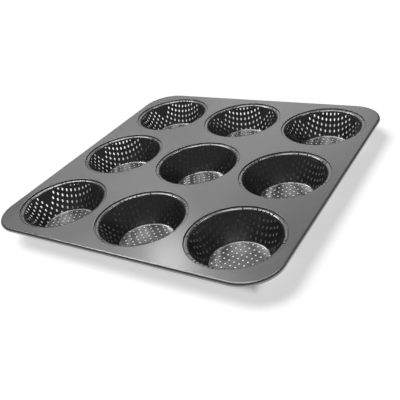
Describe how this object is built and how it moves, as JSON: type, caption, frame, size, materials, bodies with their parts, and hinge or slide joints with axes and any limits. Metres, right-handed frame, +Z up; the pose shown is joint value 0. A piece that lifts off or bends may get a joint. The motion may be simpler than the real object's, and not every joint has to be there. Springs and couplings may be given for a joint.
{
  "type": "burger bun pan",
  "caption": "Square baking pan: flat steel plate with a wired rolled edge and deep, flat-floored, perforated cups seamed into it.",
  "frame": {"origin": "on the surface that the pan stands on, under the middle of the pan", "axes": "+X along the pan's shorter side, +Y along its longer side from front to back, +Z up out of the cups' mouths"},
  "size_m": [0.38, 0.395, 0.0346],
  "materials": {
    "coated_steel": "semi-gloss grey non-stick coating",
    "coated_steel_dark": "gloss dark non-stick coating",
    "wire": "bare drawn steel"
  },
  "bodies": {
    "root": {"top_plate": "coated_steel", "rim_wire": "wire", "cup_front_left": "coated_steel_dark", "cup_front_middle": "coated_steel_dark", "cup_front_right": "coated_steel_dark", "cup_middle_left": "coated_steel_dark", "cup_centre": "coated_steel_dark", "cup_middle_right": "coated_steel_dark", "cup_back_left": "coated_steel_dark", "cup_back_middle": "coated_steel_dark", "cup_back_right": "coated_steel_dark"}
  },
  "joints": []
}
